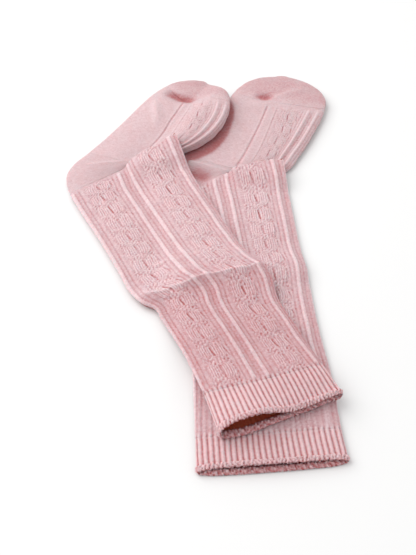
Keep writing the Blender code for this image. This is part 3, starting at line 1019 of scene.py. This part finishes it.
@dataclass
class Cuff(KnitPiece):
    """One-by-one rib, with a hem that rolls over on itself."""

    COLUMNS_A_RIB = 8
    RIB_RISE = 0.75
    HEM = 3.0               # depth of the rolled hem
    HEM_SWELL = 0.8         # how much thicker it is than the ribs
    HEM_WITHIN = 1.3        # the same within the tube
    HEM_CURL = 0.75         # how rough its loops are
    HEM_ENDS = (0.8, 1.4)   # the hem fades out between these, in hem depths
    LOOP_ENDS = (0.7, 1.5)  # and its loops between these
    LOOPS = ((0.8, 1.5), (0.6, 0.9))    # their roughness, and how far apart
    HEM_FLAT = 0.7          # how much of the ribs is lost on the hem
    RIB_WITHIN = 0.7        # rise of the ribs within the tube

    flat_round = CUFF_RIBS * RIB_PITCH
    soft_start = True
    pitch = 0.55
    stride = 1
    row_stride = 1

    def rows(self) -> Array:
        """Distances of the rows, closer together round the hem."""
        hem = self.start + self.HEM * (1 - np.cos(np.linspace(0, math.pi / 2, 8)))
        ribbed = spread(hem[-1] + self.pitch, self.end - SEAM_GAP / 2, self.pitch)
        return np.concatenate((hem, ribbed))

    def rounds(self) -> Array:
        """An even number of columns to each rib."""
        count = CUFF_RIBS * self.COLUMNS_A_RIB
        return np.arange(count) / count

    def hem(self, rows: Array) -> Array:
        """How much of each row is hem, 1 at its start."""
        low, high = self.HEM_ENDS
        return 1 - smooth_step(rows - self.start, self.HEM * low, self.HEM * high)[:, None]

    def closing(self, rows: Array, swell: float) -> Array:
        """How far the hem draws in to its very end, where its two faces meet."""
        share = np.clip((rows - self.start) / self.HEM, 0.0, 1.0)
        return (np.sqrt(1 - (1 - share) ** 2)[:, None] - 1) * (WALL / 2 + swell)

    def loops(self, rows: Array, rounds: Array, seed: int) -> Array:
        """Roughness of the hem's loose loops."""
        around, along = rounds[None, :] * GIRTH, rows[:, None]
        rough = sum(
            deep * uneven(around, along, size, seed + k) for k, (deep, size) in enumerate(self.LOOPS)
        )
        low, high = self.LOOP_ENDS
        near = 1 - smooth_step(rows - self.start, self.HEM * low, self.HEM * high)
        return self.HEM_CURL * rough * near[:, None]

    def relief(self, rows: Array, rounds: Array) -> Array:
        """Ribs, and the swelling of the rolled hem."""
        hem = self.hem(rows)
        ribs = self.RIB_RISE * cuff_ribs(rounds[None, :], rows[:, None]) * (1 - self.HEM_FLAT * hem)
        closing = self.closing(rows, self.HEM_SWELL)
        return ribs + hem * self.HEM_SWELL + closing + self.loops(rows, rounds, 3)

    def thickness(self, rows: Array, rounds: Array) -> Array:
        """Wall under plain cloth, ribbed within and closed round the hem."""
        hem = self.hem(rows)
        ribs = -self.RIB_WITHIN * cuff_ribs(rounds[None, :], rows[:, None]) * (1 - hem)
        closing = self.closing(rows, self.HEM_WITHIN)
        return WALL + ribs + hem * self.HEM_WITHIN + closing + self.loops(rows, rounds, 4)

    def inside(self, rows: Array, rounds: Array) -> Array:
        """Painted shade on the inner face, by how deep inside the tube it lies, with its ribs and the
        hem's loops.
        """
        deep = smooth_step(rows - self.start, self.HEM * 0.8, self.HEM * 1.7)[:, None]
        ribs = 0.8 * deep * cuff_ribs(rounds[None, :], rows[:, None])
        return 0.4 + 1.8 * deep + ribs - 0.8 * self.loops(rows, rounds, 4)


@dataclass
class Leg(KnitPiece):
    """The cable-patterned tube, whose front half laps over its own foot in a rounded fold."""

    rib_run: float          # how far the cuff's ribs run on into the leg
    cuff_end_shade: float         # painted shade on the leg near the cuff, which deepens its tone

    KNIT = CableKnit()
    SHADE_FADES = (104.0, 116.0)              # the painted shade fades out between these, from the hem
    LAP = ((0.25, 0.285), (0.715, 0.75))    # places round where the fold at the lap starts and stops
    RUN_ON = ((0.2, 0.26), (0.7, 0.76))     # the same for the relief that runs on to the lap
    FOLD = 2.4              # radius of the fold at the lap
    SLIT = 0.5              # left open between the fold's two layers
    FADE = 1.2              # the relief fades out over this at the seams
    HEEL_FADE = 6.0         # and over this towards the heel

    def rows(self) -> Array:
        """Distances of the rows, closer together round the fold at the lap."""
        end = self.end - SEAM_GAP / 2
        body = spread(self.start + SEAM_GAP / 2, end - self.FOLD, self.pitch)
        fold = end - self.FOLD * (1 - np.sin(np.linspace(0, math.pi / 2, 9)[1:]))
        return np.concatenate((body, fold))

    def row_shade(self, rows: Array) -> Array:
        """Painted shade at each row near the cuff, which adds to the hollows' tone."""
        return self.cuff_end_shade * (1 - smooth_step(rows, *self.SHADE_FADES))

    def shape(self, base: Array, rows: Array, rounds: Array) -> Array:
        """Round the two layers towards each other at the lap."""
        share = np.clip((rows - (self.end - self.FOLD)) / self.FOLD, 0.0, 1.0)
        drop = (1 - np.sqrt(1 - share**2))[:, None]
        lap = between(rounds, *self.LAP)
        count = len(rounds)
        mirror = np.argmin(np.abs((1 - rounds)[:, None] - rounds[None, :]), axis=1)
        middle = (base[..., 2] + base[:, mirror % count, 2]) / 2
        away = base[..., 2] - middle
        keep = np.clip(self.SLIT / 2 / np.maximum(np.abs(away), 1e-6), 0.0, 1.0)
        base = base.copy()
        base[..., 2] = middle + away * (1 - drop * lap[None, :] * (1 - keep))
        return base

    def relief(self, rows: Array, rounds: Array) -> Array:
        """Rib pairs and cables, which fade into the seams."""
        turn = self.turns(rows, rounds)
        relief = self.KNIT.relief(turn, rows[:, None] - self.start)
        off = rows - self.start
        run = self.HEEL_FADE + (self.FADE - self.HEEL_FADE) * between(rounds, *self.RUN_ON)[None, :]
        fade = smooth_step((self.end - rows)[:, None] / run, 0.0, 1.0)
        fade = fade * smooth_step(off, 0.0, self.FADE)[:, None]
        ribs = Cuff.RIB_RISE * cuff_ribs(rounds[None, :], rows[:, None])
        ribs = ribs * (0.25 + 0.75 * (1 - smooth_step(off, 0.5, 2.5)))[:, None]
        running = (1 - smooth_step(off, 0.5 * self.rib_run, self.rib_run))[:, None]
        shares = relief * fade * upper_only(rounds)[None, :]
        return shares * (1 - 0.6 * running) + ribs * running


@dataclass
class Foot(KnitPiece):
    """Plain sole and patterned instep."""

    heel_setting: Setting   # its pattern's setting at the heel end

    KNIT = CableKnit()
    STRETCH = 0.85          # how much of the leg's relief is left, the foot being stretched more
    NARROWING = 0.7         # how soon the heel's setting gives way to the toe's
    INSTEP = ((0.29, 0.3), (0.7, 0.71))     # how far round the pattern it starts and stops
    LINE_DEEP = 0.45        # where the instep meets the sole
    LINE_WIDTH = 0.8
    TOE_FADE = (1.0, 9.0)   # the relief fades out over this at the toe seam
    pitch = 0.8

    def turns(self, rows: Array, rounds: Array) -> Array:
        """The instep narrows towards the heel."""
        share = ((rows - self.start) / (self.end - self.start))[:, None] ** self.NARROWING
        heel, toe = self.heel_setting.turn(rounds), self.setting.turn(rounds)
        return heel * (1 - share) + toe * share

    def relief(self, rows: Array, rounds: Array) -> Array:
        """The leg's pattern runs on over the instep alone."""
        turn = self.turns(rows, rounds)
        pattern = self.KNIT.relief(turn, rows[:, None] - self.start)
        instep = between(turn, *self.INSTEP)
        lines = sum(bell((turn - at) * GIRTH, self.LINE_WIDTH) for at in (0.25, 0.75))
        end = smooth_step(self.end - rows, *self.TOE_FADE)[:, None]
        relief = self.STRETCH * pattern * instep - self.LINE_DEEP * lines
        return relief * end * upper_only(rounds)[None, :]


@dataclass
class Toe(KnitPiece):
    """Plain cap, whose end closes in a dome."""

    DOME = 2.2              # how far the end bulges past the last station
    DOME_ROWS = 8
    DOME_LEFT = 0.35        # of a row, left open at the dome's middle
    UPPER_STEP = 0.6        # between columns of plain cloth that shows
    TOE_SHADE = 0.25         # painted shade on the toe cap
    TOE_SHADE_FULL_AFTER = 10.0       # that shade, in full from this far past the seam

    flat_stretch = 1.3
    flat_outline = 0.62
    pitch = 0.8

    def rounds(self) -> Array:
        """Places of the columns round the tube, for plain cloth."""
        return fine_rounds(self.UPPER_STEP, PLAIN_STEP, self.stride)

    def rows(self) -> Array:
        """Distances of the rows; the last stand for the dome."""
        body = spread(self.start + SEAM_GAP / 2, self.end, self.pitch)
        dome = self.end + self.DOME * np.arange(1, self.DOME_ROWS + 1) / self.DOME_ROWS
        return np.concatenate((body, dome))

    def shape(self, base: Array, rows: Array, rounds: Array) -> Array:
        """Draw the last rows in to the middle of the toe's end."""
        body = len(rows) - self.DOME_ROWS
        last, before = base[body - 1], base[body - 2]
        forward = (last - before).mean(axis=0)
        forward[2] = 0.0
        forward /= np.linalg.norm(forward)
        middle = last.mean(axis=0)
        base = base.copy()
        for k in range(self.DOME_ROWS):
            angle = math.pi / 2 * (k + 1) / (self.DOME_ROWS + self.DOME_LEFT)
            bulge = forward * self.DOME * math.sin(angle)
            base[body + k] = middle + (last - middle) * math.cos(angle) + bulge
        return base

    def row_shade(self, rows: Array) -> Array:
        """Painted shade at each row of the toe cap, which adds to the hollows' tone."""
        return self.TOE_SHADE * smooth_step(rows - self.start, 0.0, self.TOE_SHADE_FULL_AFTER)


@dataclass
class Heel(KnitPiece):
    """The turned heel: a pouch round the back fold between two gore lines."""

    COLUMNS = 160
    TIGHTER = 2.2           # how much closer the form is read round the back fold

    flat_round = GIRTH / 2
    flat_outline = 0.62
    pitch = 0.6

    def grid(self) -> ClothGrid:
        """Work out the pouch's cloth, from the upper side line round the back fold to the lower."""
        rows = self.rows()
        t = np.linspace(1.0, -1.0, 2 * DENSE + 1)
        angles = HEEL_REACH * np.sign(t) * np.abs(t) ** self.TIGHTER
        shares = np.linspace(0.0, 1.0, self.COLUMNS + 1)
        base = self.form.even(rows, angles, shares)
        relief, walls = self.relief(rows, shares), self.thickness(rows, shares)
        turns = np.broadcast_to(shares / 2, relief.shape)
        return self.cloth_on(base, rows, shares, relief, walls, turns, closed=False)


@dataclass(frozen=True)
class Sock:
    """One sock: its guide lines, creases and how its pattern sits, in millimetres of the plan."""

    name: str
    leg: tuple[Station, ...]
    heel: tuple[Station, ...]
    foot: tuple[Station, ...]
    toe: tuple[Station, ...]    # past the toe seam, which is the foot's last station
    leg_setting: Setting
    foot_setting: Setting
    heel_setting: Setting   # the foot's own at its heel end
    leg_creases: tuple[Crease, ...] = ()
    foot_creases: tuple[Crease, ...] = ()
    mouth: Mouth | None = None
    rib_run: float = 2.5    # how far the cuff's ribs run on into the leg
    cuff_end_shade: float = 0.08  # painted shade on the leg near the cuff
    lies_on: tuple[str, ...] = ()

    def build(self, bed: Bed) -> list[bpy.types.Object]:
        """Lay the sock down: its foot first, then its leg and cuff, which lap over the foot.

        Args:
            bed: what lies below; the sock is added to it.

        Returns:
            The five pieces: cuff, leg, heel, foot and toe.
        """
        foot = TubeForm(Guide(self.foot + self.toe), bed, creases=self.foot_creases)
        toe_seam = float(foot.guide.at[len(self.foot) - 1])
        heel = TubeForm(Guide(self.heel, along_back=True), bed, creases=self.leg_creases)
        own_foot = Bed(bed.top)
        own_foot.put(foot.cover(0.0, foot.guide.length))
        leg = TubeForm(Guide(self.leg), bed, own_foot, self.leg_creases, self.mouth)
        cuff_seam = float(leg.guide.at[1])
        name, floor, on_leg, on_foot = self.name, self.lies_on, self.leg_setting, self.foot_setting
        pieces = [
            Cuff(name + "_cuff", leg, 0.0, cuff_seam, on_leg, RIB_YARN, floor),
            Leg(
                name + "_leg", leg, cuff_seam, leg.guide.length, on_leg, CABLE_YARN,
                floor + (name + "_foot",), rib_run=self.rib_run, cuff_end_shade=self.cuff_end_shade,
            ),
            Heel(name + "_heel", heel, 0.0, heel.guide.length, on_leg, PLAIN_YARN, floor),
            Foot(
                name + "_foot", foot, 0.0, toe_seam, on_foot, PLAIN_YARN, floor,
                heel_setting=self.heel_setting,
            ),
            Toe(name + "_toe", foot, toe_seam, foot.guide.length, on_foot, PLAIN_YARN, floor),
        ]
        made = [piece.build() for piece in pieces]
        covers = [form.cover(0.0, form.guide.length) for form in (leg, foot, heel)]
        bed.put(np.concatenate(covers))
        return made


FAR_SOCK = Sock(
    name="far_sock",
    leg=stations(
        ("hem", (-6, -140.5), (35, -138), (75, -133.5), 6.0),
        ("cuff top", (-7, -120), (33, -118), (73, -114), 5.6),
        ("calf", (-8, -84), (32, -83), (71, -80), 5.4),
        ("low calf", (-10, -50), (29, -50), (67, -48), 5.4),
        ("below the crease", (-12, -16), (26, -13), (64, -9), 5.6),
        ("crease", (-14, -3), (25, 2), (63, 6), 8.0),
        ("above the crease", (-16, 12), (23, 16), (61, 20), 5.6),
        ("shin", (-20, 36), (20, 38), (59, 42), 5.4),
        ("low shin", (-25, 60), (16, 66), (57, 71), 5.4),
        ("ankle", (-30, 76), (13, 96), (54, 107), 5.2),
    ),
    heel=stations(
        ("leg seam", (-30, 76), (13, 96.05), (54, 107), 5.2),
        ("below the turn", (-34, 83), (13.5, 97.6), (53, 104), 5.4),
        ("turn", (-37, 93), (14, 98.7), (52, 101), 5.6),
        ("past the turn", (-33, 107), (14.7, 100), (50, 97), 5.4),
        ("sole seam", (-22, 121), (16, 102.45), (48, 94), 5.2),
    ),
    foot=stations(
        ("ankle", (-22, 121), (16, 102.5), (48, 94), 5.2),
        ("instep", (-12, 136), (24, 114), (60, 104), 6.0),
        ("arch", (-2, 150), (31, 132), (67, 116), 7.0),
        ("ball", (10, 173), (40, 158), (79, 140), 8.0),
        ("toe seam", (20, 194), (47, 178), (91.5, 172), 8.5),
    ),
    toe=stations(
        ("toes", (25, 202), (55, 194), (93.5, 186), 8.5),
        ("toe curve", (34, 211), (61, 207), (87, 201), 8.0),
        ("toe end", (44, 216), (61, 214), (77, 211), 6.5),
        ("toe tip", (54, 218.6), (61, 218), (67, 217), 4.6),
    ),
    leg_setting=Setting(back=-0.0225, side=0.2275, front=0.4775, under=0.7275),
    foot_setting=Setting(back=-0.03, side=0.2175, front=0.44, under=0.66),
    heel_setting=Setting(back=-0.03, side=0.31, front=0.44, under=0.63),
    rib_run=26.0,
    mouth=Mouth(
        reach=16.0,
        upper=(
            (-1.0, 0.0, 0.0), (-0.8, 0.3, 1.4), (0.0, 0.6, 1.6), (0.8, 0.2, 1.2), (1.0, 0.0, 0.0),
        ),
        lower=(
            (-1.0, 0.0, 0.0), (-0.8, 0.0, -1.0), (0.0, 0.0, -0.8), (0.8, 0.0, -1.0), (1.0, 0.0, 0.0),
        ),
    ),
    leg_creases=(
        Crease("ankle hollow", ((-18, 102), (-7, 96), (6, 90)), -2.6, 6.5, 6.5, 0.4),
        Crease(
            "gore line", ((-18, 112), (-6, 107.3), (5, 103), (15, 98), (24, 92)),
            1.0, 1.4, 2.2, 0.15,
        ),
    ),
    foot_creases=(
        Crease(
            "toe arc", ((47, 179), (57, 186), (65, 190.5), (73, 193), (82, 195.5)),
            0.9, 3.0, 3.5, 0.3,
        ),
        Crease("toe dimple", ((35, 188), (44, 185), (54, 186)), -2.4, 3.5, 4.5, 0.45),
    ),
)

PACKING_FOLD = (
    (-33, -19.6), (-21.5, -17.8), (-14.5, -17.2), (-5.4, -12.6), (0, -11), (8, -9.8), (17, -6.5),
    (26, -4.6), (35, 1),
)

NEAR_SOCK = Sock(
    name="near_sock",
    leg=stations(
        ("hem", (5, -120), (38, -112), (75, -94), 12.0),
        ("cuff top", (-2, -97), (30, -90), (66, -77), 9.5),
        ("calf", (-11, -74), (23, -69), (59, -61), 7.0),
        ("low calf", (-20, -54), (13, -50), (51, -43), 6.0),
        ("below the crease", (-29, -36), (3, -31), (43, -24), 6.0),
        ("foot of the crease", (-33, -29), (-4, -20), (40, -9), 6.4),
        ("crease", (-41, -25), (-11, -11), (35, 1), 7.4),
        ("above the crease", (-48, -17), (-17, 1), (28, 9), 6.4),
        ("shin", (-57, 1), (-27, 18), (18, 28), 5.6),
        ("low shin", (-71, 28), (-40, 46), (4, 58), 5.4),
        ("above the ankle", (-85.5, 54), (-53, 73), (-8, 84), 5.4),
        ("ankle", (-97.5, 76), (-61, 101), (-24, 125), 5.2),
    ),
    heel=stations(
        ("leg seam", (-97.5, 76), (-61, 101.05), (-24, 125), 5.2),
        ("below the turn", (-101, 86), (-60.4, 102.7), (-27, 121), 5.8),
        ("turn", (-102, 96), (-59.8, 103.9), (-30, 117), 6.4),
        ("past the turn", (-98.5, 107), (-59.2, 105.3), (-33, 112), 6.6),
        ("sole seam", (-89.5, 120), (-58.1, 107.45), (-38.5, 103.5), 6.4),
    ),
    foot=stations(
        ("ankle", (-89.5, 120), (-58.1, 107.5), (-38.5, 103.5), 6.4),
        ("instep", (-77.5, 138), (-46, 120), (-22, 114), 6.6),
        ("arch", (-65, 157), (-33, 130), (-8, 121), 8.8),
        ("waist", (-53, 176), (-28, 147), (5, 132), 11.0),
        ("ball", (-42.5, 190.5), (-22, 165), (14, 149), 12.0),
        ("toe seam", (-34, 200), (-17, 178), (17.5, 168), 11.5),
    ),
    toe=stations(
        ("toes", (-28, 205.5), (-10, 190), (16, 180.5), 10.5),
        ("toe curve", (-22, 209.5), (-6, 200), (10.5, 191), 8.5),
        ("toe end", (-14, 211.5), (-4, 207.5), (5, 201), 6.5),
        ("toe tip", (-9, 211.4), (-4, 210.2), (0, 208.5), 5.0),
    ),
    leg_setting=Setting(back=-0.0145, side=0.2355, front=0.4855, under=0.7355),
    foot_setting=Setting(back=-0.03, side=0.2175, front=0.44, under=0.66),
    heel_setting=Setting(back=-0.03, side=0.37, front=0.47, under=0.63),
    leg_creases=(
        Crease("packing fold", ((-46, -21), (-39, -19.7), *PACKING_FOLD), 1.4, 4.5, 4.5, 0.05),
        Crease("packing fold's crest", ((-40, -19.7), *PACKING_FOLD), 0.9, 0.9, 0.9, 0.05),
        Crease("small fold", ((-37, 2.5), (-30, 6), (-24, 9)), 0.9, 2.0, 1.0, 0.4),
        Crease("gore line", ((-92, 105), (-78, 106.5), (-67, 107.6), (-56, 110)), 0.6, 1.2, 1.6, 0.2),
    ),
    foot_creases=(
        Crease(
            "toe pinch", ((-32, 192), (-28, 185), (-22, 180.5), (-14, 178), (-6, 175)),
            -3.0, 3.5, 5.0, 0.35,
        ),
        Crease("sole fold", ((-40, 184), (-41, 169), (-38.5, 156), (-40, 142)), 2.2, 4.0, 3.5, 0.4),
    ),
    mouth=Mouth(
        reach=28.0,
        upper=(
            (-1.0, 0.0, -3.0), (-0.85, 0.3, -0.5), (-0.65, 0.8, 1.0), (-0.3, 1.0, 2.0),
            (0.0, -2.5, 1.0), (0.2, -6.5, 0.0), (0.7, -6.0, 0.0), (0.9, -4.0, -0.6),
            (1.0, -2.0, -1.2),
        ),
        lower=(
            (-1.0, 0.0, -3.0), (-0.85, 0.0, -2.6), (-0.6, 0.0, -2.8), (-0.2, 0.0, -0.8),
            (0.2, 0.0, 0.0), (0.85, 0.0, -0.5), (1.0, -2.0, -1.2),
        ),
    ),
    cuff_end_shade=0.2,
    lies_on=("far_sock_leg", "far_sock_foot"),
)


@dataclass(frozen=True)
class Studio:
    """A white sweep of floor, soft light from the upper left and behind, and the camera."""

    eye: tuple[float, float, float] = (0.0049, -0.38673, 0.38641)
    tilt: float = 42.0      # degrees up from straight down
    lens: float = 52.418
    floor_side: float = 6.0
    floor_colour: str = "#dfdfdf"
    sky: float = 0.9
    light_place: tuple[float, float, float] = (-0.86, 0.36, 1.05)
    light_side: float = 1.4
    light_power: float = 18.0
    light_colour: str = "#fffefd"

    def build(self) -> None:
        """Set the studio up."""
        self.lay_floor()
        self.hang_light()
        self.set_world()
        self.set_camera()

    def lay_floor(self) -> None:
        """The white surface that the socks lie on."""
        bpy.ops.object.select_all(action="DESELECT")
        bpy.ops.mesh.primitive_plane_add(size=self.floor_side, location=(0.0, 0.0, -0.0001))
        floor = bpy.context.active_object
        floor.name = "floor"
        bpy.ops.object.transform_apply(location=True, rotation=False, scale=False)
        material = bpy.data.materials.new("white_paper")
        material.use_nodes = True
        shader = material.node_tree.nodes["Principled BSDF"]
        shader.inputs["Base Color"].default_value = hex_to_linear(self.floor_colour)
        shader.inputs["Roughness"].default_value = 0.9
        shader.inputs["Specular IOR Level"].default_value = 0.1
        floor.data.materials.append(material)

    def hang_light(self) -> None:
        """A square soft box that faces the socks."""
        light = bpy.data.lights.new("key", "AREA")
        light.shape = "SQUARE"
        light.size = self.light_side
        light.energy = self.light_power
        light.color = hex_to_linear(self.light_colour)[:3]
        thing = bpy.data.objects.new("key", light)
        bpy.context.scene.collection.objects.link(thing)
        thing.location = self.light_place
        x, y, z = self.light_place
        thing.rotation_euler = (math.atan2(math.hypot(x, y), z), 0.0, math.atan2(y, x) + math.pi / 2)

    def set_world(self) -> None:
        """Even white light from all round."""
        world = bpy.data.worlds.new("studio")
        world.use_nodes = True
        shader = world.node_tree.nodes["Background"]
        shader.inputs["Color"].default_value = (1.0, 1.0, 1.0, 1.0)
        shader.inputs["Strength"].default_value = self.sky
        bpy.context.scene.world = world

    def set_camera(self) -> None:
        """Look at the socks from the front, well above them."""
        camera = bpy.data.cameras.new("camera")
        camera.lens = self.lens
        camera.sensor_width = 36.0
        camera.clip_start = 0.01
        thing = bpy.data.objects.new("camera", camera)
        bpy.context.scene.collection.objects.link(thing)
        thing.location = self.eye
        thing.rotation_euler = (math.radians(self.tilt), 0.0, 0.0)
        bpy.context.scene.camera = thing
        bpy.context.scene.view_settings.view_transform = "Standard"


def main() -> None:
    """Build both socks, the far one first because the near one lies on it, then the studio."""
    logging.basicConfig(level=logging.INFO, format="%(name)s: %(message)s")
    bed = Bed()
    _, _, far_heel, far_foot, _ = FAR_SOCK.build(bed)
    NEAR_SOCK.build(bed)
    # Painted shade on the far heel and foot, beside and under the near sock.
    shade_contacts([far_heel, far_foot], bed)
    Studio().build()


if __name__ == "__main__":
    main()
